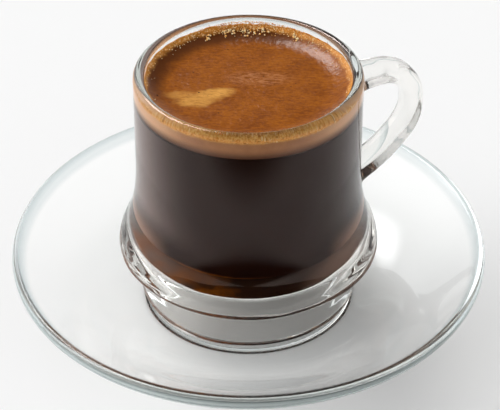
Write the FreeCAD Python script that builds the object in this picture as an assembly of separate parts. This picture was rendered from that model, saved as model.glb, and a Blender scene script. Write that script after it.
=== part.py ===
"""Small glass of Turkish coffee with its saucer.

Millimetres, +Z up. The origin is the centre of the saucer's foot ring, on the
surface that the saucer stands on, and the cup's handle points along +X.

Solids: saucer, cup (pressed glass, handle and body in one), coffee, foam.
"""
import FreeCAD
import Part
import math
import os

# Saucer: a round dish of pressed glass on a low foot ring
SAUCER_RADIUS = 61.5
SAUCER_HEIGHT = 17.2
SAUCER_GLASS = 3.0
SAUCER_RIM_SLOPE = 30.0
WELL_CLEARANCE = 2.2
WELL_TOP = 4.0
SAUCER_FOOT_INSET = 3.5
SAUCER_FOOT_WIDTH = 3.0
SAUCER_FOOT_DEPTH = 1.0

# Cup body: straight above the waist, flared into a bell below it
CUP_HEIGHT = 64.0
RIM_RADIUS = 28.0
BODY_DRAFT = 0.3
WAIST_HEIGHT = 41.8
BELL_OVERHANG = 5.3
BELLY_HEIGHT = 14.1
BELLY_EDGE_RADIUS = 0.9
FLARE_LOW_PULL = 0.19
FLARE_HIGH_PULL = 0.80
RIM_WALL = 2.8

# Cup foot: a hollow ring, joined by a cove to the shelf under the bell's edge
FOOT_SETBACK = 5.3
FOOT_EDGE_RADIUS = 0.8
FOOT_DRAFT = 0.8
FOOT_HEIGHT = 9.0
COVE_RISE = 0.70
COVE_SPREAD = 0.65
FOOT_WALL = 3.1
PUNT_DRAFT = 0.6
PUNT_HEIGHT = 12.6
PUNT_CORNER_RADIUS = 2.5

# Cavity of the cup: a slight draft down to a rounded bottom
BASE_THICKNESS = 3.5
CAVITY_DRAFT = 0.9
CAVITY_CORNER_WIDTH = 12.0
CAVITY_CORNER_HEIGHT = 7.0

# Handle: a rounded strap, lofted along its own centre line
HANDLE_WIDTH = 7.8
HANDLE_THICKNESS = 5.5
HANDLE_ROOT_GROWTH = 0.28
HANDLE_ROOT_INSET = 1.5
HANDLE_LOWER_ROOT_INSET = 2.1
HANDLE_TOP_DROP = 3.6
HANDLE_REACH = 15.4
HANDLE_LOWER_HEIGHT = 28.0
HANDLE_ROOT_FILLET = 1.2
HANDLE_TOP_ROOT_SHARE = 0.965
HANDLE_BENDS = (
    (0.27, 0.990),
    (0.59, 0.985),
    (0.88, 0.885),
    (1.00, 0.700),
    (0.95, 0.490),
    (0.72, 0.310),
    (0.38, 0.135),
)
STRAP_SQUARENESS = 0.75
STRAP_POINTS = 12
HANDLE_SECTIONS = 13

# Contents
FOAM_DROP = 3.1
FOAM_DEPTH = 4.3
FOAM_CLIMB = 0.7
FOAM_CLIMB_WIDTH = 1.1

CUP_BASE = WELL_TOP
WAIST_RADIUS = RIM_RADIUS + BODY_DRAFT
BELLY_RADIUS = WAIST_RADIUS + BELL_OVERHANG
FOOT_RADIUS = BELLY_RADIUS - FOOT_SETBACK
FOOT_NECK_RADIUS = FOOT_RADIUS - FOOT_DRAFT
PUNT_RADIUS = FOOT_RADIUS - FOOT_WALL
WELL_RADIUS = FOOT_RADIUS + WELL_CLEARANCE
SAUCER_FOOT_RADIUS = WELL_RADIUS - SAUCER_FOOT_INSET
RIM_ROUND = RIM_WALL / 2
CAVITY_RIM_RADIUS = RIM_RADIUS - RIM_WALL
CAVITY_FLOOR_RADIUS = CAVITY_RIM_RADIUS - CAVITY_DRAFT
CAVITY_FLOOR = CUP_BASE + PUNT_HEIGHT + BASE_THICKNESS
FOAM_TOP = CUP_BASE + CUP_HEIGHT - FOAM_DROP
FOAM_BOTTOM = FOAM_TOP - FOAM_DEPTH
CIRCLE_POLE = 0.5523
CENTRE = FreeCAD.Vector(0, 0, 0)
UP = FreeCAD.Vector(0, 0, 1)


def at(radius, height):
    """A point of a profile in the XZ plane."""
    return FreeCAD.Vector(radius, 0, height)


def line(start, end):
    return Part.LineSegment(at(*start), at(*end)).toShape()


def arc(centre, radius, start_deg, end_deg):
    """A circular arc from one angle to another, through the middle one."""
    points = []
    for angle in (start_deg, (start_deg + end_deg) / 2, end_deg):
        turn = math.radians(angle)
        points.append(at(centre[0] + radius * math.cos(turn), centre[1] + radius * math.sin(turn)))
    return Part.Arc(*points).toShape()


def bezier(*poles):
    curve = Part.BezierCurve()
    curve.setPoles([at(*pole) for pole in poles])
    return curve.toShape()


def revolve(edges):
    """A solid of revolution about Z, with its seam turned away from the handle."""
    face = Part.Face(Part.Wire(edges))
    solid = face.revolve(CENTRE, UP, 360)
    solid.rotate(CENTRE, UP, 180)
    return solid


def slab(bottom, top):
    """A disc wider than the cup, between two heights."""
    radius = 2 * RIM_RADIUS
    return Part.makeCylinder(radius, top - bottom, FreeCAD.Vector(0, 0, bottom))


def make_saucer():
    """Flat well, concave flange and a fully rounded rim, on a foot ring."""
    bead = SAUCER_GLASS / 2
    slope = math.radians(SAUCER_RIM_SLOPE)
    centre = (SAUCER_RADIUS - bead, SAUCER_HEIGHT - bead)
    across = (bead * math.sin(slope), bead * math.cos(slope))
    rim_upper = (centre[0] - across[0], centre[1] + across[1])
    rim_lower = (centre[0] + across[0], centre[1] - across[1])
    under = WELL_TOP - SAUCER_GLASS
    flat = (SAUCER_RADIUS - WELL_RADIUS) / 3
    rise = flat * math.tan(slope)
    upper_poles = [
        (WELL_RADIUS, WELL_TOP),
        (WELL_RADIUS + flat, WELL_TOP),
        (rim_upper[0] - flat, rim_upper[1] - rise),
        rim_upper,
    ]
    lower_poles = [
        rim_lower,
        (rim_lower[0] - flat, rim_lower[1] - rise),
        (WELL_RADIUS + flat, under),
        (WELL_RADIUS, under),
    ]
    foot_out = SAUCER_FOOT_RADIUS
    foot_in = foot_out - SAUCER_FOOT_WIDTH
    side = SAUCER_FOOT_DEPTH / 2
    edges = [
        line((0, WELL_TOP), (WELL_RADIUS, WELL_TOP)),
        bezier(*upper_poles),
        arc(centre, bead, 90 + SAUCER_RIM_SLOPE, SAUCER_RIM_SLOPE - 90),
        bezier(*lower_poles),
        line((WELL_RADIUS, under), (foot_out + side, under)),
        line((foot_out + side, under), (foot_out, under - SAUCER_FOOT_DEPTH)),
        line((foot_out, under - SAUCER_FOOT_DEPTH), (foot_in, under - SAUCER_FOOT_DEPTH)),
        line((foot_in, under - SAUCER_FOOT_DEPTH), (foot_in - side, under)),
        line((foot_in - side, under), (0, under)),
        line((0, under), (0, WELL_TOP)),
    ]
    return revolve(edges)


def flare_poles():
    """The bell's flank, from its widest point up to the waist."""
    rise = WAIST_HEIGHT - BELLY_HEIGHT
    belly = CUP_BASE + BELLY_HEIGHT
    waist = CUP_BASE + WAIST_HEIGHT
    return (
        (BELLY_RADIUS, belly),
        (BELLY_RADIUS, belly + FLARE_LOW_PULL * rise),
        (WAIST_RADIUS, waist - FLARE_HIGH_PULL * rise),
        (WAIST_RADIUS, waist),
    )


def make_body_outside():
    """The cup's outer form, solid: foot, cove, bell, waist and rounded rim."""
    base = CUP_BASE
    top = base + CUP_HEIGHT
    flare = flare_poles()
    edge = BELLY_EDGE_RADIUS
    foot_round = FOOT_EDGE_RADIUS
    neck = (FOOT_NECK_RADIUS, base + FOOT_HEIGHT)
    shelf = (BELLY_RADIUS - edge, base + BELLY_HEIGHT - edge)
    spread = (shelf[0] - neck[0]) * COVE_SPREAD
    rise = (shelf[1] - neck[1]) * COVE_RISE
    edges = [
        line((0, base), (FOOT_RADIUS - foot_round, base)),
        arc((FOOT_RADIUS - foot_round, base + foot_round), foot_round, -90, 0),
        line((FOOT_RADIUS, base + foot_round), neck),
        bezier(neck, (neck[0], neck[1] + rise), (shelf[0] - spread, shelf[1]), shelf),
        arc((shelf[0], shelf[1] + edge), edge, -90, 0),
        bezier(*flare),
        line(flare[-1], (RIM_RADIUS, top - RIM_ROUND)),
        arc((RIM_RADIUS - RIM_ROUND, top - RIM_ROUND), RIM_ROUND, 0, 90),
        line((RIM_RADIUS - RIM_ROUND, top), (0, top)),
        line((0, top), (0, base)),
    ]
    return revolve(edges)


def make_cavity():
    """The space inside the cup, up to the inner half of the rounded rim."""
    top = CUP_BASE + CUP_HEIGHT
    shoulder = CAVITY_FLOOR + CAVITY_CORNER_HEIGHT
    inner = CAVITY_FLOOR_RADIUS
    corner = (
        (inner, shoulder),
        (inner, shoulder - CIRCLE_POLE * CAVITY_CORNER_HEIGHT),
        (inner - (1 - CIRCLE_POLE) * CAVITY_CORNER_WIDTH, CAVITY_FLOOR),
        (inner - CAVITY_CORNER_WIDTH, CAVITY_FLOOR),
    )
    edges = [
        line((0, top), (RIM_RADIUS - RIM_ROUND, top)),
        arc((RIM_RADIUS - RIM_ROUND, top - RIM_ROUND), RIM_ROUND, 90, 180),
        line((CAVITY_RIM_RADIUS, top - RIM_ROUND), corner[0]),
        bezier(*corner),
        line(corner[3], (0, CAVITY_FLOOR)),
        line((0, CAVITY_FLOOR), (0, top)),
    ]
    return revolve(edges)


def make_punt():
    """The hollow under the cup, inside its foot ring."""
    ceiling = CUP_BASE + PUNT_HEIGHT
    corner = PUNT_CORNER_RADIUS
    inner = PUNT_RADIUS - PUNT_DRAFT
    edges = [
        line((0, CUP_BASE), (PUNT_RADIUS, CUP_BASE)),
        line((PUNT_RADIUS, CUP_BASE), (inner, ceiling - corner)),
        arc((inner - corner, ceiling - corner), corner, 0, 90),
        line((inner - corner, ceiling), (0, ceiling)),
        line((0, ceiling), (0, CUP_BASE)),
    ]
    return revolve(edges)


def wall_radius(height):
    """Outer radius of the cup's body at a height above the bell's widest point."""
    flank = bezier(*flare_poles())
    return flank.common(slab(CUP_BASE, height)).BoundBox.XMin


def handle_path():
    """Centre line: out from the rim, round the top bend, back down to the bell.

    The bends are shares of the handle's reach past the rim and of its height.
    """
    low = CUP_BASE + HANDLE_LOWER_HEIGHT
    top = CUP_BASE + CUP_HEIGHT - HANDLE_TOP_DROP - HANDLE_THICKNESS / 2
    tall = top - low
    points = [at(RIM_RADIUS - HANDLE_ROOT_INSET, low + tall * HANDLE_TOP_ROOT_SHARE)]
    for out, up in HANDLE_BENDS:
        points.append(at(RIM_RADIUS + HANDLE_REACH * out, low + tall * up))
    points.append(at(wall_radius(low) - HANDLE_LOWER_ROOT_INSET, low))
    curve = Part.BSplineCurve()
    curve.interpolate(points)
    return curve


def rounded(value):
    """A cosine or sine, drawn out towards the corners of a rounded strap."""
    return math.copysign(abs(value) ** STRAP_SQUARENESS, value)


def strap_section(centre, tangent, width, thickness):
    """A rounded strap section across the path, as one closed curve."""
    across = FreeCAD.Vector(0, 1, 0)
    outward = across.cross(tangent)
    points = []
    for step in range(STRAP_POINTS):
        turn = 2 * math.pi * step / STRAP_POINTS
        side = rounded(math.cos(turn)) * width / 2
        rise = rounded(math.sin(turn)) * thickness / 2
        points.append(centre + across * side + outward * rise)
    curve = Part.BSplineCurve()
    curve.interpolate(points, PeriodicFlag=True)
    return Part.Wire([curve.toShape()])


def make_handle():
    """The strap, a little wider and thicker where it grows out of the cup."""
    path = handle_path()
    first, last = path.FirstParameter, path.LastParameter
    sections = []
    for step in range(HANDLE_SECTIONS):
        share = step / (HANDLE_SECTIONS - 1)
        parameter = first + (last - first) * share
        growth = 1 + HANDLE_ROOT_GROWTH * abs(2 * share - 1) ** 6
        tangent = path.tangent(parameter)[0]
        width = HANDLE_WIDTH * growth
        thickness = HANDLE_THICKNESS * growth
        sections.append(strap_section(path.value(parameter), tangent, width, thickness))
    return Part.makeLoft(sections, True, False)


def shared_edges(whole, first, second):
    """The edges of a fused shape that lie on the surfaces of both its parts."""
    found = []
    for edge in whole.Edges:
        middle = Part.Vertex(edge.valueAt((edge.FirstParameter + edge.LastParameter) / 2))
        gaps = [middle.distToShape(part.Shells[0])[0] for part in (first, second)]
        if max(gaps) < 0.001:
            found.append(edge)
    return found


def make_cup(cavity):
    """Body and handle in one piece of glass, blended at the handle's two roots."""
    body = make_body_outside().cut(make_punt())
    handle = make_handle()
    joined = body.fuse(handle)
    blended = joined.makeFillet(HANDLE_ROOT_FILLET, shared_edges(joined, body, handle))
    return blended.cut(cavity)


def make_foam(cavity):
    """The foam layer, flat on top and climbing a little where it meets the glass."""
    layer = cavity.common(slab(FOAM_BOTTOM, FOAM_TOP + FOAM_CLIMB))
    inner = CAVITY_RIM_RADIUS - FOAM_CLIMB_WIDTH
    top = FOAM_TOP + FOAM_CLIMB
    hollow = revolve([
        line((0, FOAM_TOP), (inner, FOAM_TOP)),
        line((inner, FOAM_TOP), (CAVITY_RIM_RADIUS, top)),
        line((CAVITY_RIM_RADIUS, top), (0, top)),
        line((0, top), (0, FOAM_TOP)),
    ])
    return layer.cut(hollow)


def export(shape, name):
    """Write the single solid of one node."""
    solids = shape.Solids
    if len(solids) != 1 or not solids[0].isValid():
        raise RuntimeError(f"{name}: {len(solids)} solids, valid {shape.isValid()}")
    solids[0].exportStep(os.path.join("parts", name + ".step"))
    print(name, "volume", round(solids[0].Volume), "mm3")


def main():
    os.makedirs("parts", exist_ok=True)
    cavity = make_cavity()
    export(make_saucer(), "saucer")
    export(make_cup(cavity), "cup")
    export(cavity.common(slab(CUP_BASE, FOAM_BOTTOM)), "coffee")
    export(make_foam(cavity), "foam")


main()
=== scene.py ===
"""Looks of a small glass cup of foamy Turkish coffee on its glass saucer.

Sizes are in millimetres until a mesh is made. Heights and radii come from the
frame's boxes where the frame gives them, and the rest are named values that
repeat the part's own. The cup's handle points along +X.
"""
import bpy
import bmesh
import math
import random
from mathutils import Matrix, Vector, noise


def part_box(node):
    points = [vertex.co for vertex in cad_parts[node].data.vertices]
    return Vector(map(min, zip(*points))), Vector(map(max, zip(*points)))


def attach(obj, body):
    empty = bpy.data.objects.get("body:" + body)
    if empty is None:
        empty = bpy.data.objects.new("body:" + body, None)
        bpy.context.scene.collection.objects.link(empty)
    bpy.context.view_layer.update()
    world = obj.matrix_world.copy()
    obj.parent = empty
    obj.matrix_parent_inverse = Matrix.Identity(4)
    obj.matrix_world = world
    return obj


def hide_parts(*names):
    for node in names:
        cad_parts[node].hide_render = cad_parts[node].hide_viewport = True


MM = 0.001

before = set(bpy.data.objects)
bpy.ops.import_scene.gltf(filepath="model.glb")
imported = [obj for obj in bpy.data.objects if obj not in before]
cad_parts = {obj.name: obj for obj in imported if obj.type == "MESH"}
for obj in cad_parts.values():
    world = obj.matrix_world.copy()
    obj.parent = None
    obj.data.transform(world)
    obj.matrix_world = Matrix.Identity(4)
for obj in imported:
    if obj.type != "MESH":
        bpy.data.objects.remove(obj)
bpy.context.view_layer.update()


def box_mm(node):
    """Radius along -X, lowest and highest height of a CAD node, in millimetres."""
    low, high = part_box(node)
    return -low.x / MM, low.z / MM, high.z / MM


# ---------------------------------------- sizes

SAUCER_RADIUS, _, SAUCER_TOP = box_mm("saucer")
BELLY_RADIUS, CUP_BASE, CUP_TOP = box_mm("cup")
_, FOAM_BOTTOM, FOAM_CREST = box_mm("foam")
_, COFFEE_BOTTOM, _ = box_mm("coffee")

SAUCER_GLASS = 3.0
SAUCER_RIM_SLOPE = 30.0
WELL_RADIUS = 30.5
WELL_TOP = CUP_BASE
SAUCER_FOOT_RADIUS = 27.0
SAUCER_FOOT_WIDTH = 3.0
SAUCER_FOOT_DEPTH = 1.0
SAUCER_FOOT_BREAK_ACROSS = 0.1
SAUCER_FOOT_BREAK_UP = 0.05
SAUCER_SEGMENTS = 320

RIM_RADIUS = 28.0
RIM_WALL = 2.8
WAIST_RADIUS = RIM_RADIUS + 0.3
WAIST_HEIGHT = 41.8
BELLY_HEIGHT = 14.1
BELLY_EDGE = 0.9
FLARE_LOW_PULL = 0.19
FLARE_HIGH_PULL = 0.80
FOOT_RADIUS = 28.3
FOOT_ROUND = 0.8
FOOT_NECK_RADIUS = 27.5
FOOT_HEIGHT = 9.0
COVE_RISE = 0.70
COVE_SPREAD = 0.65
PUNT_RADIUS = 25.2
PUNT_DRAFT = 0.6
PUNT_HEIGHT = 12.6
PUNT_CORNER = 2.5
PUNT_EDGE = 0.3
CAVITY_FLOOR_RADIUS = 24.3
CAVITY_CORNER_WIDTH = 12.0
CAVITY_CORNER_HEIGHT = 7.0

HANDLE_WIDTH = 7.8
HANDLE_THICKNESS = 5.5
HANDLE_TOP_DROP = 3.6
HANDLE_REACH = 15.4
HANDLE_LOWER_HEIGHT = 28.0
HANDLE_ROOT_INSET = 1.5
HANDLE_LOWER_ROOT_INSET = 2.1
HANDLE_TOP_ROOT_SHARE = 0.965
HANDLE_SQUARENESS = 0.75
HANDLE_SWELL = 0.28
HANDLE_ROOT_SPREAD = 0.45
HANDLE_ROOT_START = 0.90
HANDLE_ROOT_LENGTH = 0.10
HANDLE_STEPS = 120
HANDLE_SEGMENTS = 48
HANDLE_BENDS = (
    (0.27, 0.990),
    (0.59, 0.985),
    (0.88, 0.885),
    (1.00, 0.700),
    (0.95, 0.490),
    (0.72, 0.310),
    (0.38, 0.135),
)

CAVITY_RIM_RADIUS = RIM_RADIUS - RIM_WALL
INTO_WALL = 0.12
CONTACT_FILM = 0.02

COFFEE_FLOOR_GAP = 0.01
COFFEE_TOP = FOAM_BOTTOM - CONTACT_FILM
COFFEE_SINK = 0.1

MENISCUS_CLIMB = 1.8
MENISCUS_WIDTH = 7.0
WALL_CREEP = 0.6
FOAM_DROP = 0.1
FOAM_RING_STEP = 0.28
FOAM_SEGMENTS = 480
FOAM_SIDE_RINGS = 8

WAVE_DEPTH = 0.22
WAVE_TOP = 18.0
WAVE_FADE = 8.0
WAVE_WALL = 2.0
WAVE_ACROSS = 0.06
WAVE_UP = 0.55

CIRCLE_POLE = 0.5523
ROUND_SEGMENTS = 256


# ---------------------------------------- viewing frame

# Angles are in degrees. The camera's lens and sensor are in millimetres, the rest in metres.
CAMERA_AZIMUTH = -18.0
CAMERA_ELEVATION = 37.333
CAMERA_DISTANCE = 0.38655
CAMERA_TARGET_HEIGHT = 0.027366
CAMERA_SIDESTEP = 0.00038
CAMERA_LENS = 108
CAMERA_SENSOR = 36
CAMERA_CLIP = 0.01


def view_frame():
    """Unit vectors to the camera's right, away from it over the ground, and up."""
    turn = math.radians(CAMERA_AZIMUTH)
    right = Vector((math.cos(turn), math.sin(turn), 0))
    away = Vector((-math.sin(turn), math.cos(turn), 0))
    return right, away, Vector((0, 0, 1))


def in_view(right_m, away_m, up_m):
    """A point given by how far it is to the right of, beyond and above the origin."""
    right, away, up = view_frame()
    return right * right_m + away * away_m + up * up_m


# ---------------------------------------- outlines

def arc(centre, radius, start_deg, end_deg, steps=8):
    """Points on a circle's arc, ends included."""
    points = []
    for step in range(steps + 1):
        turn = math.radians(start_deg + (end_deg - start_deg) * step / steps)
        points.append((centre[0] + radius * math.cos(turn), centre[1] + radius * math.sin(turn)))
    return points


def bezier(poles, steps=16):
    """Points on the cubic curve of four poles, ends included."""
    points = []
    for step in range(steps + 1):
        t = step / steps
        weights = ((1 - t) ** 3, 3 * t * (1 - t) ** 2, 3 * t * t * (1 - t), t ** 3)
        points.append(tuple(
            sum(weight * pole[axis] for weight, pole in zip(weights, poles))
            for axis in (0, 1)
        ))
    return points


def join_outline(*stretches):
    """One outline from stretches, without the points that two of them share."""
    outline = []
    for stretch in stretches:
        for point in stretch:
            if not outline or math.dist(point, outline[-1]) > 1e-4:
                outline.append(point)
    return outline


def between(start, end, steps):
    """Evenly spaced points on a straight stretch, ends included."""
    return [
        tuple(start[axis] + (end[axis] - start[axis]) * step / steps for axis in (0, 1))
        for step in range(steps + 1)
    ]


def cavity_outline():
    """The cup's inside, from the top of the rim down to the axis."""
    shoulder = COFFEE_BOTTOM + CAVITY_CORNER_HEIGHT
    inner = CAVITY_FLOOR_RADIUS
    rim_round = RIM_WALL / 2
    corner = (
        (inner, shoulder),
        (inner, shoulder - CIRCLE_POLE * CAVITY_CORNER_HEIGHT),
        (inner - (1 - CIRCLE_POLE) * CAVITY_CORNER_WIDTH, COFFEE_BOTTOM),
        (inner - CAVITY_CORNER_WIDTH, COFFEE_BOTTOM),
    )
    return join_outline(
        arc((RIM_RADIUS - rim_round, CUP_TOP - rim_round), rim_round, 90, 180),
        between((CAVITY_RIM_RADIUS, CUP_TOP - rim_round), corner[0], 12),
        bezier(corner),
        between(corner[3], (0, COFFEE_BOTTOM), 4),
    )


def flare_poles():
    """The bell's flank, from its widest point up to the waist."""
    rise = WAIST_HEIGHT - BELLY_HEIGHT
    belly = CUP_BASE + BELLY_HEIGHT
    waist = CUP_BASE + WAIST_HEIGHT
    return (
        (BELLY_RADIUS, belly),
        (BELLY_RADIUS, belly + FLARE_LOW_PULL * rise),
        (WAIST_RADIUS, waist - FLARE_HIGH_PULL * rise),
        (WAIST_RADIUS, waist),
    )


def wall_radius(height):
    """Outer radius of the cup's body at a height on the bell's flank."""
    return min(bezier(flare_poles(), 64), key=lambda point: abs(point[1] - height))[0]


def cup_outline():
    """The whole section of the cup's body, from the punt's axis round to the cavity's."""
    base = CUP_BASE + CONTACT_FILM
    ceiling = CUP_BASE + PUNT_HEIGHT
    inner = PUNT_RADIUS - PUNT_DRAFT
    rim_round = RIM_WALL / 2
    flare = flare_poles()
    neck = (FOOT_NECK_RADIUS, CUP_BASE + FOOT_HEIGHT)
    shelf = (BELLY_RADIUS - BELLY_EDGE, CUP_BASE + BELLY_HEIGHT - BELLY_EDGE)
    spread = (shelf[0] - neck[0]) * COVE_SPREAD
    rise = (shelf[1] - neck[1]) * COVE_RISE
    cove = (neck, (neck[0], neck[1] + rise), (shelf[0] - spread, shelf[1]), shelf)
    return join_outline(
        between((0, ceiling), (inner - PUNT_CORNER, ceiling), 4),
        arc((inner - PUNT_CORNER, ceiling - PUNT_CORNER), PUNT_CORNER, 90, 0),
        between((inner, ceiling - PUNT_CORNER), (PUNT_RADIUS, base + PUNT_EDGE), 4),
        between((PUNT_RADIUS + PUNT_EDGE, base), (FOOT_RADIUS - FOOT_ROUND, base), 2),
        arc((FOOT_RADIUS - FOOT_ROUND, base + FOOT_ROUND), FOOT_ROUND, -90, 0),
        between((FOOT_RADIUS, base + FOOT_ROUND), neck, 4),
        bezier(cove, 12),
        arc((shelf[0], shelf[1] + BELLY_EDGE), BELLY_EDGE, -90, 0, 12),
        bezier(flare, 32),
        between(flare[-1], (RIM_RADIUS, CUP_TOP - rim_round), 10),
        arc((RIM_RADIUS - rim_round, CUP_TOP - rim_round), rim_round, 0, 90),
        cavity_outline(),
    )


def saucer_outline():
    """The saucer's section, from its underside's axis round the rim to its well's."""
    bead = SAUCER_GLASS / 2
    slope = math.radians(SAUCER_RIM_SLOPE)
    centre = (SAUCER_RADIUS - bead, SAUCER_TOP - bead)
    across = (bead * math.sin(slope), bead * math.cos(slope))
    rim_upper = (centre[0] - across[0], centre[1] + across[1])
    rim_lower = (centre[0] + across[0], centre[1] - across[1])
    under = WELL_TOP - SAUCER_GLASS
    flat = (SAUCER_RADIUS - WELL_RADIUS) / 3
    rise = flat * math.tan(slope)
    lower = (
        (WELL_RADIUS, under),
        (WELL_RADIUS + flat, under),
        (rim_lower[0] - flat, rim_lower[1] - rise),
        rim_lower,
    )
    upper = (
        rim_upper,
        (rim_upper[0] - flat, rim_upper[1] - rise),
        (WELL_RADIUS + flat, WELL_TOP),
        (WELL_RADIUS, WELL_TOP),
    )
    foot_out = SAUCER_FOOT_RADIUS
    foot_in = foot_out - SAUCER_FOOT_WIDTH
    side = SAUCER_FOOT_DEPTH / 2
    foot = under - SAUCER_FOOT_DEPTH
    foot_ring = [
        (foot_in, foot + SAUCER_FOOT_BREAK_UP),
        (foot_in + SAUCER_FOOT_BREAK_ACROSS, foot),
        (foot_out - SAUCER_FOOT_BREAK_ACROSS, foot),
        (foot_out, foot + SAUCER_FOOT_BREAK_UP),
    ]
    return join_outline(
        between((0, under), (foot_in - side, under), 3),
        foot_ring,
        between((foot_out + side, under), (WELL_RADIUS, under), 1),
        bezier(lower, 24),
        arc(centre, bead, SAUCER_RIM_SLOPE - 90, SAUCER_RIM_SLOPE + 90, 16),
        bezier(upper, 24),
        between((WELL_RADIUS, WELL_TOP), (0, WELL_TOP), 4),
    )


# ---------------------------------------- meshes

def mesh_object(name, verts, faces, material):
    """A smooth-shaded object from millimetre points, with its normals outward."""
    data = bpy.data.meshes.new(name)
    data.from_pydata([Vector(v) * MM for v in verts], [], faces)
    shape = bmesh.new()
    shape.from_mesh(data)
    bmesh.ops.recalc_face_normals(shape, faces=shape.faces)
    shape.to_mesh(data)
    shape.free()
    data.polygons.foreach_set("use_smooth", [True] * len(data.polygons))
    data.materials.append(material)
    piece = bpy.data.objects.new(name, data)
    bpy.context.scene.collection.objects.link(piece)
    return piece


def ring_faces(low, high, around):
    """Faces between two closed rings of corners, each given by its first corner's number."""
    afters = [(corner + 1) % around for corner in range(around)]
    return [(low + k, low + after, high + after, high + k) for k, after in enumerate(afters)]


def lathe(name, outline, material, segments=ROUND_SEGMENTS):
    """The outline turned about Z. Its two ends lie on the axis."""
    verts, rings, faces = [], [], []
    for radius, height in outline:
        if radius < 1e-6:
            rings.append([len(verts)] * segments)
            verts.append((0, 0, height))
            continue
        rings.append(range(len(verts), len(verts) + segments))
        for step in range(segments):
            turn = 2 * math.pi * step / segments
            verts.append((radius * math.cos(turn), radius * math.sin(turn), height))
    for low, high in zip(rings, rings[1:]):
        for step in range(segments):
            after = (step + 1) % segments
            corners = (low[step], low[after], high[after], high[step])
            faces.append(tuple(dict.fromkeys(corners)))
    return mesh_object(name, verts, [face for face in faces if len(face) > 2], material)


# ---------------------------------------- shader helpers

def new_material(name):
    """A material, its node tree and its Principled shader."""
    material = bpy.data.materials.new(name)
    material.use_nodes = True
    return material, material.node_tree, material.node_tree.nodes["Principled BSDF"]


def link(tree, source, target):
    """Joins two sockets."""
    tree.links.new(source, target)


def add(tree, kind, inputs=None, **settings):
    """A new node. An input is given by its name or number, as a socket or a value."""
    made = tree.nodes.new("ShaderNode" + kind)
    for name, value in settings.items():
        setattr(made, name, value)
    for name, value in (inputs or {}).items():
        if isinstance(value, bpy.types.NodeSocket):
            link(tree, value, made.inputs[name])
        else:
            made.inputs[name].default_value = value
    return made


def calc(tree, operation, first, second=0.0):
    """The result of one Math node."""
    return add(tree, "Math", {0: first, 1: second}, operation=operation).outputs[0]


def product(tree, first, *others):
    """All the values multiplied."""
    for other in others:
        first = calc(tree, "MULTIPLY", first, other)
    return first


def scaled(tree, value, scale, offset):
    """The value times the scale, plus the offset."""
    inputs = {0: value, 1: scale, 2: offset}
    return add(tree, "Math", inputs, operation="MULTIPLY_ADD").outputs[0]


def smooth(tree, value, low, high):
    """0 up to low, 1 from high, with a soft S between. Low above high turns it round."""
    limits = {"Value": value, "From Min": low, "From Max": high}
    return add(tree, "MapRange", limits, interpolation_type="SMOOTHSTEP").outputs["Result"]


def mix(tree, factor, first, second):
    """A colour between two colours, each a socket or a value."""
    made = add(tree, "Mix", data_type="RGBA")
    for name, value in (("Factor", factor), ("A", first), ("B", second)):
        socket = [s for s in made.inputs if s.name == name and s.enabled][0]
        if isinstance(value, bpy.types.NodeSocket):
            link(tree, value, socket)
        elif name == "Factor":
            socket.default_value = value
        else:
            socket.default_value = (*value, 1)
    return [s for s in made.outputs if s.enabled][0]


def mix_shader(tree, factor, first, second):
    """The first shader where the factor is 0, the second where it's 1."""
    return add(tree, "MixShader", {0: factor, 1: first, 2: second}).outputs[0]


def see_through(tree, colour):
    """A shader that lets light straight on, tinted. The colour is a socket or a value."""
    if not isinstance(colour, bpy.types.NodeSocket):
        colour = (*colour, 1)
    return add(tree, "BsdfTransparent", {"Color": colour}).outputs[0]


def vector(tree, operation, first, second=(0, 0, 0)):
    """The vector that one Vector Math node makes."""
    return add(tree, "VectorMath", {0: first, 1: second}, operation=operation).outputs[0]


def times(tree, place, factor):
    """The vector with its length times the factor."""
    return add(tree, "VectorMath", {0: place, "Scale": factor}, operation="SCALE").outputs[0]


def grain(tree, place, scale, detail=3.0, roughness=0.55, distortion=0.0):
    """Cloudy noise from 0 to 1, with its scale in waves for each millimetre."""
    inputs = {"Vector": place, "Scale": scale, "Detail": detail, "Roughness": roughness}
    return add(tree, "TexNoise", {**inputs, "Distortion": distortion}).outputs["Fac"]


def bubble_mask(tree, place, scale):
    """Round spots of uneven size and strength, scale of them to a millimetre."""
    cells = add(tree, "TexVoronoi", {"Vector": place, "Scale": scale, "Randomness": 1.0})
    chance = add(tree, "SeparateColor", {0: cells.outputs["Color"]})
    size = product(tree, chance.outputs[0], 0.55)
    spot = calc(tree, "SUBTRACT", size, cells.outputs["Distance"])
    return product(tree, smooth(tree, spot, -0.12, 0.25), chance.outputs[1])


def place_mm(tree):
    """The point on the object in millimetres."""
    return times(tree, add(tree, "TexCoord").outputs["Object"], 1 / MM)


def axis_distance(tree):
    """Distance from the cup's axis in millimetres."""
    flat = vector(tree, "MULTIPLY", place_mm(tree), (1, 1, 0))
    return add(tree, "VectorMath", {0: flat}, operation="LENGTH").outputs["Value"]


def height_mm(tree):
    """Height over the ground in millimetres."""
    return add(tree, "SeparateXYZ", {0: place_mm(tree)}).outputs["Z"]


def along(tree, place, direction):
    """How far the point lies along a direction."""
    inputs = {0: place, 1: tuple(direction)}
    return add(tree, "VectorMath", inputs, operation="DOT_PRODUCT").outputs["Value"]


def ellipse_reach(tree, place, middle, *half_axes):
    """0 in an ellipse's middle and 1 on its edge. A half axis is a direction over its length."""
    parts = []
    for axis in half_axes:
        share = calc(tree, "SUBTRACT", along(tree, place, axis), axis.dot(middle))
        parts.append(calc(tree, "POWER", calc(tree, "ABSOLUTE", share), 2))
    return calc(tree, "ADD", *parts)


# ---------------------------------------- glass

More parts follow.
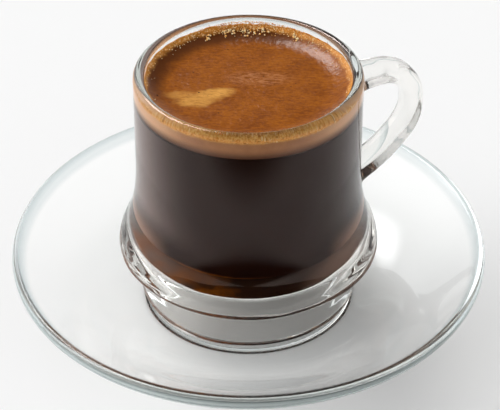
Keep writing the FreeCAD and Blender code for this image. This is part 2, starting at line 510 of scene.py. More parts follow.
# Tint and density: what each metre of the glass absorbs. Bending: its index of refraction.
# Gloss: what its mirroring keeps. Surface and rim: what passes it in the body and at the rim,
# with the zone between them. Shadow: its colour face-on and edge-on. Clearness: what passes
# of the light from pale surfaces. Leak: what leaves the glass after a bounce inside it.
CUP_LOOK = {
    "tint": (0.84, 0.82, 0.76),
    "density": 14.0,
    "bending": 1.47,
    "gloss": (0.80, 0.66, 0.62),
    "surface": (0.94, 0.93, 0.915),
    "rim": (0.60, 0.66, 0.67),
    "rim_zone": (CUP_TOP - 1.6, CUP_TOP - 0.4),
    "shadow": ((0.94, 0.935, 0.93), (0.2, 0.2, 0.2)),
    "clearness": (0.62, 0.62, 0.62),
    "leak": None,
}
SAUCER_LOOK = {
    "tint": (0.72, 0.87, 0.85),
    "density": 10.0,
    "bending": 1.5,
    "gloss": (0.35, 0.35, 0.35),
    "surface": (1, 1, 1),
    "rim": (0.70, 0.76, 0.77),
    "rim_zone": (58.2, 59.8),
    "shadow": ((0.995, 0.995, 0.99), (0.75, 0.75, 0.75)),
    "clearness": (1.0, 1.0, 1.0),
    "leak": (0.94, 0.95, 0.95),
}
SHADOW_BLEND = 0.35


def glass_material(name, look, measure):
    """Clear pressed glass. Its tint shows only where the light's way through it is long.

    Lamps and the light that pale surfaces return pass straight through it. With a leak,
    light that has bounced inside it gets out too, which a thin plate would otherwise keep.
    """
    material, tree, shader = new_material(name)
    shader.inputs["Transmission Weight"].default_value = 1
    shader.inputs["Roughness"].default_value = 0
    shader.inputs["IOR"].default_value = look["bending"]
    shader.inputs["Specular Tint"].default_value = (*look["gloss"], 1)
    rim = smooth(tree, measure(tree), *look["rim_zone"])
    link(tree, mix(tree, rim, look["surface"], look["rim"]), shader.inputs["Base Color"])
    path = add(tree, "LightPath").outputs
    edge_on = add(tree, "LayerWeight", {"Blend": SHADOW_BLEND}).outputs["Facing"]
    shadow = mix(tree, calc(tree, "POWER", edge_on, 2.0), *look["shadow"])
    glass = mix_shader(tree, path["Is Shadow Ray"], shader.outputs[0], see_through(tree, shadow))
    if look["leak"]:
        glass = mix_shader(tree, path["Is Reflection Ray"], glass, see_through(tree, look["leak"]))
    glass = mix_shader(tree, path["Is Diffuse Ray"], glass, see_through(tree, look["clearness"]))
    output = tree.nodes["Material Output"]
    link(tree, glass, output.inputs["Surface"])
    absorb = add(tree, "VolumeAbsorption", {"Color": (*look["tint"], 1), "Density": look["density"]})
    link(tree, absorb.outputs[0], output.inputs["Volume"])
    return material


# ---------------------------------------- coffee

# Each zone runs from where its colour starts to where it's full: by height over the cup's
# floor, by distance to either side of the middle, or by slant, 0 face-on and 1 edge-on.
COFFEE_DEEP = ((0.009, 0.0022, 0.001), (0.018, 0.005, 0.002))
# Painted light: the thin coffee's paler colour, the amber glow, the glow at both sides and the
# sheen.
COFFEE_THIN = ((0.048, 0.017, 0.007), (0.55, 0.31, 0.22))
COFFEE_GLOW = (0.50, 0.135, 0.006)
COFFEE_SIDE_GLOW = (0.50, 0.285, 0.20)
COFFEE_SHEEN = ((0.085, 0.058, 0.050), (0.31, 0.225, 0.205))
THIN_HEIGHTS = (2.4, 0.0)
THIN_SIDES = (9.0, 19.0)
GLOW_HEIGHTS = (5.0, 0.5)
SIDE_GLOW_HEIGHTS = (13.0, 3.0)
SIDE_GLOW_SIDES = (17.0, 25.0)
SHEEN_HEIGHTS = (7.0, 16.0)
SHEEN_SLANTS = (0.14, 0.40)


def over_floor(tree, height, heights):
    """A zone of the coffee by its heights over the cup's floor."""
    start, end = heights
    return smooth(tree, height, COFFEE_BOTTOM + start, COFFEE_BOTTOM + end)


def coffee_material():
    """Black coffee with painted light: paler just above the cup's floor, where it's thin, and
    brown low down at both sides, where less coffee lies behind the glass.

    A painted amber glow lies low down on the left. A painted sheen, paler on the left, stands
    in for the reflection of the pale surroundings where it's seen at a slant.
    """
    material, tree, shader = new_material("coffee")
    place = place_mm(tree)
    right, away, _ = view_frame()
    height = height_mm(tree)
    beside = calc(tree, "ABSOLUTE", along(tree, place, right))

    deep = mix(tree, grain(tree, place, 0.08), *COFFEE_DEEP)
    # Painted light: paler where the coffee is thin just above the cup's floor, more so towards the
    # sides.
    thin = mix(tree, smooth(tree, beside, *THIN_SIDES), *COFFEE_THIN)
    colour = mix(tree, over_floor(tree, height, THIN_HEIGHTS), deep, thin)

    # Painted glow: amber light low down on the left, as if shining through the thin coffee.
    side = smooth(tree, along(tree, place, -0.95 * right - 0.3 * away), 0.0, 20.0)
    cloud = smooth(tree, grain(tree, place, 0.15), 0.35, 0.6)
    glow = product(tree, over_floor(tree, height, GLOW_HEIGHTS), side, cloud)
    colour = mix(tree, glow, colour, COFFEE_GLOW)

    # Painted glow: brown light low down at both sides, where less coffee lies behind the glass.
    at_sides = smooth(tree, beside, *SIDE_GLOW_SIDES)
    side_glow = product(tree, at_sides, over_floor(tree, height, SIDE_GLOW_HEIGHTS))
    colour = mix(tree, side_glow, colour, COFFEE_SIDE_GLOW)

    # Painted sheen: the reflection of the pale surroundings where the coffee is seen at a slant,
    # brighter on the left, where the light comes from.
    slant = add(tree, "LayerWeight", {"Blend": 0.5}).outputs["Facing"]
    slanted = smooth(tree, slant, *SHEEN_SLANTS)
    sheen = product(tree, slanted, over_floor(tree, height, SHEEN_HEIGHTS))
    left = smooth(tree, along(tree, place, right), 20.0, -20.0)
    colour = mix(tree, sheen, colour, mix(tree, left, *COFFEE_SHEEN))

    link(tree, colour, shader.inputs["Base Color"])
    shader.inputs["Roughness"].default_value = 0.5
    shader.inputs["Specular IOR Level"].default_value = 0.0
    return material


# ---------------------------------------- foam's colours

CREMA = ((0.165, 0.036, 0.0015), (0.385, 0.112, 0.005))
CREMA_REFLECTION = (0.62, 0.29, 0.14)
CREMA_PATCH = ((0.46, 0.180, 0.025), (0.84, 0.44, 0.10))
CREMA_RING = (0.105, 0.026, 0.001)
CREMA_EDGE = ((0.40, 0.115, 0.010), (0.82, 0.36, 0.058))
CREMA_BUBBLE_GLINT = (1.0, 0.60, 0.22)

SIDE_GOLD = ((0.74, 0.245, 0.030), (1.0, 0.55, 0.16))
SIDE_GOLD_SPECK = (0.44, 0.130, 0.012)
SIDE_GOLD_TOP = (0.48, 0.145, 0.014)
SIDE_GOLD_BUBBLE_GLINT = (1.0, 0.66, 0.30)
SIDE_TAN = ((0.36, 0.145, 0.061), (0.55, 0.255, 0.112))
SIDE_TAN_FLANK = (0.96, 0.54, 0.29)
SIDE_DUSK = (0.13, 0.052, 0.026)

# The top's zones by distance from the axis, the side's by height, the flanks' by distance
# to either side of the middle.
RING_RADII = (20.2, 24.0)
EDGE_RADII = (24.9, 26.2)
GLOSS_RADII = (13.0, 20.0)
GOLD_HEIGHTS = (FOAM_CREST - 0.7, FOAM_CREST + 0.1)
GOLD_TOP_HEIGHTS = (FOAM_CREST + 0.5, FOAM_CREST + 1.3)
DUSK_HEIGHTS = (FOAM_BOTTOM + 2.6, FOAM_BOTTOM)
FLANK_SIDES = (11.0, 23.0)

BUBBLE_TONES = ((0.95, 0.45, 0.08), (1.0, 0.82, 0.48))
FILM_TONES = ((0.80, 0.27, 0.02), (1.0, 0.58, 0.17))
DRIP_TONES = ((0.60, 0.22, 0.03), (0.90, 0.50, 0.18))
GROUNDS_TONES = ((0.025, 0.008, 0.002), (0.08, 0.028, 0.007))

FOAM_BENDING = 1.29
FOAM_ROUGHNESS = 0.25
FOAM_ROUGHNESS_LOSS = 0.04
RIPPLE_DEPTH = 0.15
WATER_BENDING = 1.33

# Each lobe of the pale patch: right, away, half length, half width, turn, strength.
PATCH_LOBES = (
    (-8.4, -3.3, 4.7, 2.4, 14, 1.0),
    (-15.2, -4.3, 4.8, 2.0, -4, 0.55),
    (-12.6, -6.6, 4.6, 2.3, 6, 0.8),
)
PATCH_FRAY = 3.0

# A painted reflection on the oily film beyond the middle: right, away, half length, half width,
# strength.
REFLECTION_SPOT = (2.5, 3.5, 10.0, 4.2, 0.5)


def patch_mask(tree, place):
    """Where pale foam lies, as lobes with frayed edges."""
    right, away, _ = view_frame()
    wobble = add(tree, "TexNoise", {"Vector": place, "Scale": 0.4, "Detail": 5.0}).outputs["Color"]
    shift = times(tree, vector(tree, "SUBTRACT", wobble, (0.5, 0.5, 0.5)), PATCH_FRAY)
    frayed = vector(tree, "ADD", place, shift)
    mask = None
    for across, back, half_long, half_wide, turn, strength in PATCH_LOBES:
        angle = math.radians(turn)
        axis = right * math.cos(angle) + away * math.sin(angle)
        cross = away * math.cos(angle) - right * math.sin(angle)
        middle = right * across + away * back
        reach = ellipse_reach(tree, frayed, middle, axis / half_long, cross / half_wide)
        lobe = product(tree, smooth(tree, reach, 1.9, 0.0), strength)
        mask = lobe if mask is None else calc(tree, "MAXIMUM", mask, lobe)
    return mask


def reflection_mask(tree, place, streaks):
    """A faint painted reflection on the oily film beyond the middle, drawn out in streaks."""
    right, away, _ = view_frame()
    across, back, half_long, half_wide, strength = REFLECTION_SPOT
    middle = right * across + away * back
    reach = ellipse_reach(tree, place, middle, right / half_long, away / half_wide)
    near = smooth(tree, reach, 1.0, 0.0)
    return product(tree, near, strength, smooth(tree, streaks, 0.35, 0.75))


def streak_noise(tree, place):
    """Noise drawn out from side to side, as the foam's streaks are."""
    right, away, _ = view_frame()
    stretched = add(tree, "CombineXYZ", {
        "X": product(tree, along(tree, place, right), 0.45),
        "Y": product(tree, along(tree, place, away), 1.5),
    }).outputs[0]
    return grain(tree, stretched, 1.0, 5.0, 0.65, 0.6)


def foam_top_colour(tree, place, radius, facing):
    """Golden crema: fine streaks, a painted reflection, a pale patch, a dark ring, a bubbly golden
    edge.
    """
    streaks = streak_noise(tree, place)
    cloud = grain(tree, place, 0.16, 3.0)
    fine = grain(tree, place, 1.8, 3.0, 0.6)
    blend = scaled(tree, streaks, 0.55, -0.02)
    blend = scaled(tree, cloud, 0.30, blend)
    blend = scaled(tree, fine, 0.25, blend)

    colour = mix(tree, smooth(tree, blend, 0.32, 0.74), *CREMA)
    # Painted reflection: a pale pinkish sheen beyond the middle.
    colour = mix(tree, reflection_mask(tree, place, streaks), colour, CREMA_REFLECTION)
    frayed = product(tree, patch_mask(tree, place), smooth(tree, streaks, 0.15, 0.52))
    colour = mix(tree, frayed, colour, mix(tree, blend, *CREMA_PATCH))

    wander = scaled(tree, grain(tree, place, 0.3, 4.0), 2.4, radius)
    at_back_left = smooth(tree, facing, 0.05, 0.70)
    ring = product(tree, smooth(tree, wander, *RING_RADII), at_back_left)
    colour = mix(tree, ring, colour, CREMA_RING)

    rich = mix(tree, grain(tree, place, 0.9, 4.0), *CREMA_EDGE)
    # Pale bubbles at the edge, partly painted glints of light shining through them.
    bubbles = calc(tree, "MAXIMUM", bubble_mask(tree, place, 1.5), bubble_mask(tree, place, 3.1))
    speckled = mix(tree, bubbles, rich, CREMA_BUBBLE_GLINT)
    return mix(tree, smooth(tree, wander, *EDGE_RADII), colour, speckled)


def golden_side_colour(tree, place, level):
    """The bubbly zone at the foam's edge, darker at its top."""
    squashed = vector(tree, "MULTIPLY", place, (1, 1, 2.4))
    patchy = grain(tree, squashed, 2.3, 4.0, 0.6)
    gold = mix(tree, smooth(tree, patchy, 0.25, 0.75), *SIDE_GOLD)
    specks = product(tree, bubble_mask(tree, squashed, 1.3), 0.9)
    gold = mix(tree, specks, gold, SIDE_GOLD_SPECK)
    high = smooth(tree, level, *GOLD_TOP_HEIGHTS)
    upper = product(tree, high, smooth(tree, patchy, 0.65, 0.40))
    gold = mix(tree, upper, gold, SIDE_GOLD_TOP)
    # Pale bubbles in the golden zone, partly painted glints of light shining through them.
    return mix(tree, bubble_mask(tree, place, 1.9), gold, SIDE_GOLD_BUBBLE_GLINT)


def foam_side_colour(tree, place):
    """The foam against the glass: tan, paler at both sides, with a golden zone above."""
    right, _, _ = view_frame()
    height = height_mm(tree)
    tan = mix(tree, grain(tree, place, 0.35, 5.0), *SIDE_TAN)
    beside = calc(tree, "ABSOLUTE", along(tree, place, right))
    flank = product(tree, smooth(tree, beside, *FLANK_SIDES), 0.85)
    tan = mix(tree, flank, tan, SIDE_TAN_FLANK)
    tan = mix(tree, smooth(tree, height, *DUSK_HEIGHTS), tan, SIDE_DUSK)
    level = calc(tree, "ADD", height, grain(tree, place, 0.5, 3.0))
    golden = smooth(tree, level, *GOLD_HEIGHTS)
    return mix(tree, golden, tan, golden_side_colour(tree, place, level))


def foam_material():
    """Wet crema: its top, its side and a rippled gloss, a little sharper towards the edge."""
    material, tree, shader = new_material("foam")
    place = place_mm(tree)
    right, away, _ = view_frame()
    radius = axis_distance(tree)
    outward = vector(tree, "NORMALIZE", vector(tree, "MULTIPLY", place, (1, 1, 0)))
    facing = along(tree, outward, -0.6 * right + 0.8 * away)
    normal = add(tree, "NewGeometry").outputs["True Normal"]
    upright = add(tree, "SeparateXYZ", {0: normal}).outputs["Z"]
    top = foam_top_colour(tree, place, radius, facing)
    side = foam_side_colour(tree, place)
    colour = mix(tree, smooth(tree, upright, 0.55, 0.25), top, side)
    link(tree, colour, shader.inputs["Base Color"])
    near_edge = smooth(tree, radius, *GLOSS_RADII)
    roughness = scaled(tree, near_edge, -FOAM_ROUGHNESS_LOSS, FOAM_ROUGHNESS)
    link(tree, roughness, shader.inputs["Roughness"])
    shader.inputs["IOR"].default_value = FOAM_BENDING
    ripple = grain(tree, place, 1.1, 3.0, 0.5)
    bump = add(tree, "Bump", {"Height": ripple, "Strength": 0.5, "Distance": RIPPLE_DEPTH * MM})
    link(tree, bump.outputs[0], shader.inputs["Normal"])
    return material


# ---------------------------------------- handle

def handle_points():
    """Knots of the handle's centre line, as radius and height."""
    low = CUP_BASE + HANDLE_LOWER_HEIGHT
    tall = CUP_TOP - HANDLE_TOP_DROP - HANDLE_THICKNESS / 2 - low
    points = [(RIM_RADIUS - HANDLE_ROOT_INSET, low + tall * HANDLE_TOP_ROOT_SHARE)]
    points += [(RIM_RADIUS + HANDLE_REACH * out, low + tall * up) for out, up in HANDLE_BENDS]
    points.append((wall_radius(low) - HANDLE_LOWER_ROOT_INSET, low))
    return points


def curve_samples(points, count):
    """Points and tangents evenly along a smooth curve through the given points."""
    spline_data = bpy.data.curves.new("path", "CURVE")
    spline_data.dimensions = "3D"
    spline_data.resolution_u = 24
    spline = spline_data.splines.new("BEZIER")
    spline.bezier_points.add(len(points) - 1)
    for knot, (radius, height) in zip(spline.bezier_points, points):
        knot.co = (radius, 0, height)
        knot.handle_left_type = "AUTO"
        knot.handle_right_type = "AUTO"
    holder = bpy.data.objects.new("path", spline_data)
    bpy.context.scene.collection.objects.link(holder)
    dense = [v.co.copy() for v in bpy.data.meshes.new_from_object(holder).vertices]
    bpy.data.objects.remove(holder)
    lengths = [0.0]
    for start, end in zip(dense, dense[1:]):
        lengths.append(lengths[-1] + (end - start).length)
    samples, index = [], 0
    for step in range(count):
        wanted = lengths[-1] * step / (count - 1)
        while index < len(dense) - 2 and lengths[index + 1] < wanted:
            index += 1
        span = lengths[index + 1] - lengths[index]
        samples.append(dense[index].lerp(dense[index + 1], (wanted - lengths[index]) / span))
    tangents = []
    for step in range(count):
        earlier = samples[max(step - 1, 0)]
        later = samples[min(step + 1, count - 1)]
        tangents.append((later - earlier).normalized())
    return samples, tangents


def rounded_square(share):
    """A circle's sine or cosine, pushed out towards a square's."""
    return math.copysign(abs(share) ** HANDLE_SQUARENESS, share)


def make_handle(material):
    """The strap as a closed mesh that ends inside the cup's wall."""
    count, around = HANDLE_STEPS, HANDLE_SEGMENTS
    samples, tangents = curve_samples(handle_points(), count)
    verts, faces = [], []
    for step, (place, tangent) in enumerate(zip(samples, tangents)):
        share = abs(2 * step / (count - 1) - 1)
        root = max(0.0, (share - HANDLE_ROOT_START) / HANDLE_ROOT_LENGTH)
        growth = 1 + HANDLE_SWELL * share ** 6 + HANDLE_ROOT_SPREAD * root ** 2
        across = Vector((0, 1, 0))
        outward = across.cross(tangent)
        for corner in range(around):
            turn = 2 * math.pi * corner / around
            side = rounded_square(math.cos(turn)) * HANDLE_WIDTH / 2
            rise = rounded_square(math.sin(turn)) * HANDLE_THICKNESS / 2
            verts.append(tuple(place + (across * side + outward * rise) * growth))
    for step in range(count - 1):
        faces += ring_faces(step * around, (step + 1) * around, around)
    faces.append(tuple(range(around)))
    faces.append(tuple(range((count - 1) * around, count * around)))
    return mesh_object("handle_part", verts, faces, material)


def fuse(piece, other):
    """Adds the other closed mesh to the piece, in one surface."""
    union = piece.modifiers.new("union", "BOOLEAN")
    union.operation = "UNION"
    union.solver = "EXACT"
    union.object = other
    graph = bpy.context.evaluated_depsgraph_get()
    fused = bpy.data.meshes.new_from_object(piece.evaluated_get(graph))
    piece.modifiers.clear()
    piece.data = fused
    bpy.data.objects.remove(other)
    fused.polygons.foreach_set("use_smooth", [True] * len(fused.polygons))


# ---------------------------------------- pieces

def clip_outline(outline, low, high):
    """The stretch of a falling outline between two heights, cut exactly at both."""
    kept = []
    for start, end in zip(outline, outline[1:]):
        for level in (high, low):
            if start[1] > level >= end[1]:
                share = (start[1] - level) / (start[1] - end[1])
                kept.append((start[0] + (end[0] - start[0]) * share, level))
        if low < end[1] < high:
            kept.append(end)
    return kept


def press(cup):
    """Gives the thick base the slight waves of pressed glass, out of the coffee's reach."""
    for vert in cup.data.vertices:
        place = vert.co / MM
        low = 1 - min(max((place.z - WAVE_TOP) / WAVE_FADE, 0.0), 1.0)
        radius = math.hypot(place.x, place.y)
        outside = min(max((radius - CAVITY_FLOOR_RADIUS) / WAVE_WALL, 0.0), 1.0)
        spot = Vector((place.x * WAVE_ACROSS, place.y * WAVE_ACROSS, place.z * WAVE_UP))
        wave = noise.fractal(spot, 0.7, 2.0, 2)
        push = WAVE_DEPTH * low * outside * wave / max(radius, 1.0)
        vert.co.x *= 1 + push
        vert.co.y *= 1 + push


def make_cup():
    """The cup with its handle, in one piece of glass."""
    glass = glass_material("cup_glass", CUP_LOOK, height_mm)
    cup = lathe("cup_glass", cup_outline(), glass)
    press(cup)
    fuse(cup, make_handle(glass))
    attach(cup, "root")
    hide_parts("cup")


def make_saucer():
    """The saucer, fine enough for its rim to stay round."""
    glass = glass_material("saucer_glass", SAUCER_LOOK, axis_distance)
    saucer = lathe("saucer_glass", saucer_outline(), glass, SAUCER_SEGMENTS)
    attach(saucer, "root")
    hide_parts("saucer")


def make_coffee():
    """The liquid, reaching just into the glass at its side and below."""
    wall = clip_outline(cavity_outline(), COFFEE_BOTTOM + COFFEE_FLOOR_GAP, COFFEE_TOP)
    side = [(radius + INTO_WALL, height - COFFEE_SINK) for radius, height in wall]
    side[0] = (side[0][0], COFFEE_TOP)
    outline = [(0, COFFEE_TOP)] + side + [(0, side[-1][1])]
    coffee = lathe("coffee_liquid", outline, coffee_material())
    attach(coffee, "root")
    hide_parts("coffee")


def foam_height(across, back):
    """The foam's surface at a place in millimetres: a hollow meniscus and a fine relief."""
    radius = math.hypot(across, back)
    climb = max(0.0, (radius - CAVITY_RIM_RADIUS + MENISCUS_WIDTH) / MENISCUS_WIDTH)
    swell = noise.noise(Vector((across * 0.12, back * 0.12, 3.0)))
    wrinkle = noise.fractal(Vector((across * 0.55, back * 0.55, 8.0)), 0.8, 2.0, 3)
    pits = noise.fractal(Vector((across * 1.9, back * 1.9, 15.0)), 0.8, 2.0, 2)
    relief = 0.10 * swell + 0.045 * wrinkle + 0.02 * pits
    creep = WALL_CREEP * (1 + noise.noise(Vector((across * 0.25, back * 0.25, 21.0))))
    middle = FOAM_CREST - MENISCUS_CLIMB - FOAM_DROP
    return middle + MENISCUS_CLIMB * climb ** 2 + creep * climb ** 6 + relief * (1 - 0.6 * climb)


def make_foam():
    """The foam's disc: a fine relief on top, the cavity's wall round it and a flat underside."""
    outer = CAVITY_RIM_RADIUS + INTO_WALL
    rings = round(outer / FOAM_RING_STEP)
    bottom = clip_outline(cavity_outline(), FOAM_BOTTOM, FOAM_CREST)[-1][0] + INTO_WALL
    verts = [(0, 0, foam_height(0, 0))]
    for ring in range(1, rings + 1):
        radius = outer * ring / rings
        for step in range(FOAM_SEGMENTS):
            turn = 2 * math.pi * step / FOAM_SEGMENTS
            across, back = radius * math.cos(turn), radius * math.sin(turn)
            verts.append((across, back, foam_height(across, back)))
    for depth in range(1, FOAM_SIDE_RINGS + 1):
        for step in range(FOAM_SEGMENTS):
            across, back, top = verts[1 + (rings - 1) * FOAM_SEGMENTS + step]
            share = depth / FOAM_SIDE_RINGS
            taper = (outer + (bottom - outer) * share) / outer
            verts.append((across * taper, back * taper, top + (FOAM_BOTTOM - top) * share))
    verts.append((0, 0, FOAM_BOTTOM))
    last = rings + FOAM_SIDE_RINGS
    faces = []
    for step in range(FOAM_SEGMENTS):
        after = (step + 1) % FOAM_SEGMENTS
        faces.append((0, 1 + step, 1 + after))
        for ring in range(last - 1):
            low, high = 1 + ring * FOAM_SEGMENTS, 1 + (ring + 1) * FOAM_SEGMENTS
            faces.append((low + step, high + step, high + after, low + after))
        end = 1 + (last - 1) * FOAM_SEGMENTS
        faces.append((end + step, len(verts) - 1, end + after))
    foam = mesh_object("coffee_foam", verts, faces, foam_material())
    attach(foam, "root")
    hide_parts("foam")


def crema_bead_material(name, tones):
    """Bubbles of crema: from one colour to another, each with a bright glint."""
    material, tree, shader = new_material(name)
    tone = smooth(tree, grain(tree, place_mm(tree), 1.1, 2.0), 0.35, 0.6)
    link(tree, mix(tree, tone, *tones), shader.inputs["Base Color"])
    shader.inputs["Roughness"].default_value = 0.12
    shader.inputs["IOR"].default_value = WATER_BENDING
    return material


def grounds_material():
    """Dull, nearly black grounds."""
    material, tree, shader = new_material("coffee_grounds")
    colour = mix(tree, grain(tree, place_mm(tree), 3.0), *GROUNDS_TONES)
    link(tree, colour, shader.inputs["Base Color"])
    shader.inputs["Roughness"].default_value = 0.85
    shader.inputs["Specular IOR Level"].default_value = 0.1
    return material


def ball(fineness):
    """A unit ball's points and faces."""
    shape = bmesh.new()
    bmesh.ops.create_icosphere(shape, subdivisions=fineness, radius=1)
    points = [vert.co.copy() for vert in shape.verts]
    faces = [tuple(vert.index for vert in face.verts) for face in shape.faces]
    shape.free()
    return points, faces


def scatter(name, places, material, fineness=2):
    """One mesh of many small balls: each place is a centre, a size and three stretches."""
    points, corners = ball(fineness)
    verts, faces = [], []
    for centre, size, stretch in places:
        first = len(verts)
        verts += [
            tuple(centre[axis] + size * stretch[axis] * point[axis] for axis in range(3))
            for point in points
        ]
        faces += [tuple(first + corner for corner in face) for face in corners]
    return mesh_object(name, verts, faces, material)


def around_axis(turn, radius):
    """A flat point by its turn, clockwise from the side far from the viewer."""
    right, away, _ = view_frame()
    return (right * math.sin(turn) + away * math.cos(turn)) * radius


def on_foam(turn, radius, lift):
    """A point over the foam."""
    spot = around_axis(turn, radius)
    return spot.x, spot.y, foam_height(spot.x, spot.y) + lift


def turn_near_back(draw, share, spread):
    """A turn that lies near the back of the cup in this share of the draws."""
    return draw.gauss(0, spread) if draw.random() < share else draw.uniform(-math.pi, math.pi)


BUBBLE_COUNT = 420
BUBBLE_CLUSTERS = (-27, -15, -12, -3, 3, 9, 30)
CLUSTER_COUNT = 14


def make_bubbles():
    """Bubbles of crema along the cup's wall, thick at the back and sparse elsewhere."""
    draw = random.Random(7)
    places = []
    for _ in range(BUBBLE_COUNT):
        turn = turn_near_back(draw, 0.82, 0.55)
        radius = CAVITY_RIM_RADIUS - 0.1 - abs(draw.gauss(0, 0.85))
        size = draw.uniform(0.07, 0.17)
        places.append((on_foam(turn, radius, 0.2 * size), size, (1, 1, 0.8)))
    for cluster in BUBBLE_CLUSTERS:
        for _ in range(CLUSTER_COUNT):
            turn = math.radians(cluster + draw.gauss(0, 1.8))
            radius = CAVITY_RIM_RADIUS - 0.7 - abs(draw.gauss(0, 0.9))
            size = draw.uniform(0.12, 0.32)
            places.append((on_foam(turn, radius, 0.2 * size), size, (1, 1, 0.8)))
    bubbles = scatter("foam_bubbles", places, crema_bead_material("crema_bubbles", BUBBLE_TONES))
    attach(bubbles, "root")


GROUNDS_COUNT = 120


def make_grounds():
    """Dark specks of ground coffee afloat on the foam."""
    draw = random.Random(11)
    places = []
    for _ in range(GROUNDS_COUNT):
        turn = draw.uniform(-math.pi, math.pi)
        radius = (CAVITY_RIM_RADIUS - 1.5) * math.sqrt(draw.random())
        size = draw.uniform(0.04, 0.10) if draw.random() < 0.9 else draw.uniform(0.12, 0.20)
        stretch = (draw.uniform(0.7, 1.4), draw.uniform(0.7, 1.4), 0.5)
        places.append((on_foam(turn, radius, 0.1 * size), size, stretch))
    grounds = scatter("coffee_grounds", places, grounds_material())
    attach(grounds, "root")


FILM_COUNT = 4600
FILM_HEIGHT = 1.5
FILM_LIFT = 0.1


def make_film():
    """Tiny bubbles left on the wall over the foam's edge, fewer the higher they sit."""
    draw = random.Random(23)
    places = []
    for _ in range(FILM_COUNT):
        turn = turn_near_back(draw, 0.7, 0.8)
        reach_up = FILM_HEIGHT * (0.25 + 0.75 * math.exp(-(turn / 0.55) ** 2))
        height = FOAM_CREST + FILM_LIFT + reach_up * draw.random() ** 1.8
        size = draw.uniform(0.05, 0.13)
        spot = around_axis(turn, CAVITY_RIM_RADIUS - 0.3 * size)
        places.append(((spot.x, spot.y, height), size, (1, 1, 1)))
    film = scatter("foam_film", places, crema_bead_material("crema_film", FILM_TONES), 1)
    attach(film, "root")


DRIPS = ((-23.0, 2.1, 0.22), (52.0, 1.4, 0.4))
DRIP_STEPS = 14
DRIP_START = 0.3
DRIP_INTO_WALL = 0.05
DRIP_THICKNESS = 0.10


def make_drips():
    """Thin streaks that foam left on the wall above it: turn, height and width of each.

    Each is a three-sided tube that narrows upwards, two of its corners inside the glass.
    """
    verts, faces = [], []
    for turn, tall, wide in DRIPS:
        first = len(verts)
        for step in range(DRIP_STEPS + 1):
            share = step / DRIP_STEPS
            height = FOAM_CREST - DRIP_START + tall * share
            half = wide * (1 - 0.7 * share) * (1 + 0.3 * math.sin(9 * share)) / 2
            middle = math.radians(turn) + 0.01 * math.sin(5 * share)
            bulge = -DRIP_THICKNESS * (1 - 0.5 * share)
            for side, depth in ((-1, DRIP_INTO_WALL), (0, bulge), (1, DRIP_INTO_WALL)):
                angle = middle + side * half / CAVITY_RIM_RADIUS
                spot = around_axis(angle, CAVITY_RIM_RADIUS + depth)
                verts.append((spot.x, spot.y, height))
        for low in range(first, first + 3 * DRIP_STEPS, 3):
            faces += ring_faces(low, low + 3, 3)
        for end in (first, first + 3 * DRIP_STEPS):
            faces.append((end, end + 1, end + 2))
    drips = mesh_object("foam_drips", verts, faces, crema_bead_material("crema_drips", DRIP_TONES))
    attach(drips, "root")


# ---------------------------------------- stage

FLOOR_SIZE = 6
FLOOR_PALE = ((0.885, 0.885, 0.885), (0.825, 0.825, 0.825))
FLOOR_THROUGH_GLASS = ((0.955, 0.955, 0.95), (0.86, 0.855, 0.855))
FLOOR_FALLOFF = (25.0, 80.0)
CARD_COLOUR = (0.02, 0.02, 0.02)
CARD_DEPTHS = (85.0, 125.0)
CARD_SIDES = (140.0, 85.0)
CARD_NEAR = (80.0, 60.0)


def card_mask(tree, place, path):
    """Painted dark reflection: a dark card in front of the object, which only glass and wet foam
    mirror.

    Light inside glass meets it only over a short way.
    """
    right, away, _ = view_frame()
    front = smooth(tree, along(tree, place, -away), *CARD_DEPTHS)
    middle = smooth(tree, calc(tree, "ABSOLUTE", along(tree, place, right)), *CARD_SIDES)
    mirrored = calc(tree, "MINIMUM", path["Glossy Depth"], 1.0)
    near = smooth(tree, product(tree, path["Ray Length"], 1 / MM), *CARD_NEAR)
    outside = calc(tree, "LESS_THAN", path["Transmission Depth"], 0.5)
    return product(tree, front, middle, mirrored, calc(tree, "MAXIMUM", near, outside))


def make_floor():
    """A pale floor with painted shade to the right and in front, and painted paler through glass."""
    material, tree, shader = new_material("floor")
    right, away, _ = view_frame()
    place = place_mm(tree)
    path = add(tree, "LightPath").outputs
    # Painted shade: darker towards the right and the front, where the shadow and the light's falloff
    # lie.
    falloff = smooth(tree, along(tree, place, 0.8 * right - 0.6 * away), *FLOOR_FALLOFF)
    pale = mix(tree, falloff, *FLOOR_PALE)
    through = mix(tree, falloff, *FLOOR_THROUGH_GLASS)
    # Painted light: paler where the floor is seen through glass.
    pale = mix(tree, path["Is Transmission Ray"], pale, through)
    # Painted dark reflection of the floor in front, seen only after a glossy bounce.
    colour = mix(tree, card_mask(tree, place, path), pale, CARD_COLOUR)
    link(tree, colour, shader.inputs["Base Color"])
    shader.inputs["Roughness"].default_value = 0.9
    shader.inputs["Specular IOR Level"].default_value = 0.1
    bpy.ops.mesh.primitive_plane_add(size=FLOOR_SIZE, location=(0, 0, 0))
    floor = bpy.context.object
    floor.name = "floor"
    floor.data.materials.append(material)


def make_camera():
    """The camera at the viewing angle, aimed a little above the saucer."""
    tilt = math.radians(CAMERA_ELEVATION)
    data = bpy.data.cameras.new("camera")
    data.lens = CAMERA_LENS
    data.sensor_width = CAMERA_SENSOR
    data.clip_start = CAMERA_CLIP
    camera = bpy.data.objects.new("camera", data)
    bpy.context.scene.collection.objects.link(camera)
    camera.location = in_view(
        CAMERA_SIDESTEP,
        -CAMERA_DISTANCE * math.cos(tilt),
        CAMERA_TARGET_HEIGHT + CAMERA_DISTANCE * math.sin(tilt),
    )
    camera.rotation_euler = (math.pi / 2 - tilt, 0, math.radians(CAMERA_AZIMUTH))
    bpy.context.scene.camera = camera


# The studio's brightness by height, from the horizon (0) to straight overhead (1).
STUDIO_LEVELS = ((0.0, 0.81), (0.10, 0.74), (0.28, 0.37), (0.60, 0.19), (1.0, 0.55))

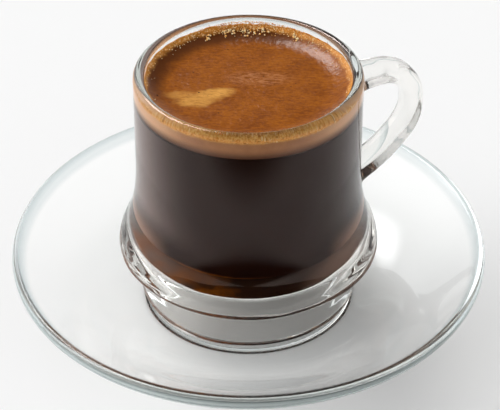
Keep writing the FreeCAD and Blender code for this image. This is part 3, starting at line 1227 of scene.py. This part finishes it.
# Each soft light: its direction as right, away and up, its strength, and the angles from its
# middle where it ends and where it's full.
SOFT_WALLS = (
    ((-0.80, 0.25, 0.50), 2.1, 48, 15),
    ((0.95, 0.20, 0.20), 0.6, 40, 12),
)
WINDOW = ((-0.304, 0.57, 0.76), 15.0, 16, 3)
WINDOW_LOSS_IN_GLASS = 0.85
WINDOW_LOSS_MATTE = 0.4

FRONT_MIRRORED = 0.05
FRONT_FILL = 1.7
LEVEL_THROUGH_GLASS = 0.5

GLASS_BOUNCES = 40
GLOSS_BOUNCES = 24


def soft_spot(tree, aim, toward, outer, inner):
    """A round light: nothing beyond the outer angle from its middle, full within the inner."""
    near = along(tree, aim, in_view(*toward).normalized())
    return smooth(tree, near, math.cos(math.radians(outer)), math.cos(math.radians(inner)))


def studio_light(tree, aim, mirrored):
    """The plain studio, pale low down and dimmer above.

    Behind the viewer it's dark to gloss and a soft fill to matte surfaces.
    """
    _, away, up = view_frame()
    levels = add(tree, "ValToRGB", {0: add(tree, "SeparateXYZ", {0: aim}).outputs["Z"]})
    ramp = levels.color_ramp
    while len(ramp.elements) < len(STUDIO_LEVELS):
        ramp.elements.new(0.5)
    for element, (level, brightness) in zip(ramp.elements, STUDIO_LEVELS):
        element.position = level
        element.color = (brightness, brightness, brightness, 1)
    behind = smooth(tree, along(tree, aim, -away), 0.15, 0.75)
    overhead = smooth(tree, along(tree, aim, 0.6 * up - 0.8 * away), 0.25, 0.70)
    front = calc(tree, "MAXIMUM", behind, product(tree, overhead, mirrored))
    change = scaled(tree, mirrored, FRONT_MIRRORED - FRONT_FILL, FRONT_FILL - 1)
    return product(tree, levels.outputs["Color"], scaled(tree, front, change, 1.0))


def window_strength(tree, path, strength):
    """The window is full in a gloss, weaker on matte surfaces and faint inside glass."""
    entered = calc(tree, "MINIMUM", path["Transmission Depth"], 1.0)
    rebound = calc(tree, "MINIMUM", path["Glossy Depth"], 1.0)
    inside = product(tree, path["Is Glossy Ray"], rebound, entered)
    matte = calc(tree, "SUBTRACT", 1.0, path["Is Glossy Ray"])
    loss = scaled(tree, inside, WINDOW_LOSS_IN_GLASS, product(tree, matte, WINDOW_LOSS_MATTE))
    return scaled(tree, loss, -strength, strength)


def make_world():
    """The studio with a soft wall at each side, and one window beyond, to the left.

    What glass shows through itself is never darker than a middle grey.
    """
    world = bpy.data.worlds.new("studio")
    bpy.context.scene.world = world
    world.use_nodes = True
    tree = world.node_tree
    aim = add(tree, "TexCoord").outputs["Generated"]
    path = add(tree, "LightPath").outputs
    total = studio_light(tree, aim, path["Is Glossy Ray"])
    for toward, strength, outer, inner in SOFT_WALLS:
        spot = soft_spot(tree, aim, toward, outer, inner)
        total = scaled(tree, spot, strength, total)
    toward, strength, outer, inner = WINDOW
    spot = soft_spot(tree, aim, toward, outer, inner)
    total = scaled(tree, spot, window_strength(tree, path, strength), total)
    seen_through = product(tree, path["Is Transmission Ray"], LEVEL_THROUGH_GLASS)
    total = calc(tree, "MAXIMUM", total, seen_through)
    background = tree.nodes["Background"]
    link(tree, total, background.inputs["Color"])
    background.inputs["Strength"].default_value = 1.0


# ---------------------------------------- the scene

make_camera()
make_world()
make_floor()
make_saucer()
make_cup()
make_coffee()
make_foam()
make_bubbles()
make_film()
make_grounds()
make_drips()

scene = bpy.context.scene
scene.view_settings.view_transform = "Standard"
scene.cycles.max_bounces = GLASS_BOUNCES
scene.cycles.transmission_bounces = GLASS_BOUNCES
scene.cycles.glossy_bounces = GLOSS_BOUNCES
